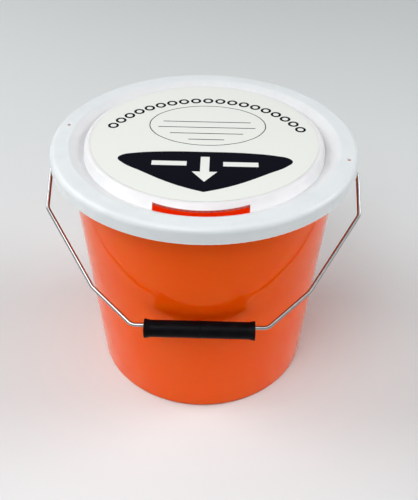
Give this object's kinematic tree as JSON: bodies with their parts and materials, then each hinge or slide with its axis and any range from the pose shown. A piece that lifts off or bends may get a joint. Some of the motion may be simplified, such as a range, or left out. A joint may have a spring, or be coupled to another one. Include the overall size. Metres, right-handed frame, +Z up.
{
  "type": "charity collection bucket",
  "caption": "Tapered plastic collection bucket with a press-on lid, arc-shaped coin slot, round label, folding wire bail and tube grip.",
  "frame": {"origin": "on the floor under the centre of the bucket's base", "axes": "+Z up, X along the bail's pivot axis, -Y towards the coin slot and the resting bail"},
  "size_m": [0.2398, 0.2312, 0.2034],
  "materials": {
    "orange_pail": "smooth glossy moulded polypropylene, orange",
    "white_lid": "satin moulded polypropylene, off-white",
    "label_print": "printed satin vinyl, cream with dark navy",
    "zinc_wire": "bright zinc-plated steel wire",
    "black_grip": "satin black moulded plastic"
  },
  "bodies": {
    "bucket": {"bucket": "orange_pail"},
    "lid": {"lid": "white_lid", "label": "label_print"},
    "bail": {"bail": "zinc_wire"},
    "grip": {"grip": "black_grip"}
  },
  "joints": [
    {"name": "lid_lift", "type": "slide", "parent": "bucket", "child": "lid", "axis": [0, 0, 1], "range_m": [0, 0.2]},
    {"name": "bail_swing", "type": "hinge", "parent": "bucket", "child": "bail", "pos_m": [0, 0, 0.177], "axis": [-1, 0, 0], "range_deg": [0, 248.8]},
    {"name": "grip_spin", "type": "hinge", "parent": "bail", "child": "grip", "pos_m": [0, -0.10314, 0.10318], "axis": [1, 0, 0], "continuous": true}
  ]
}
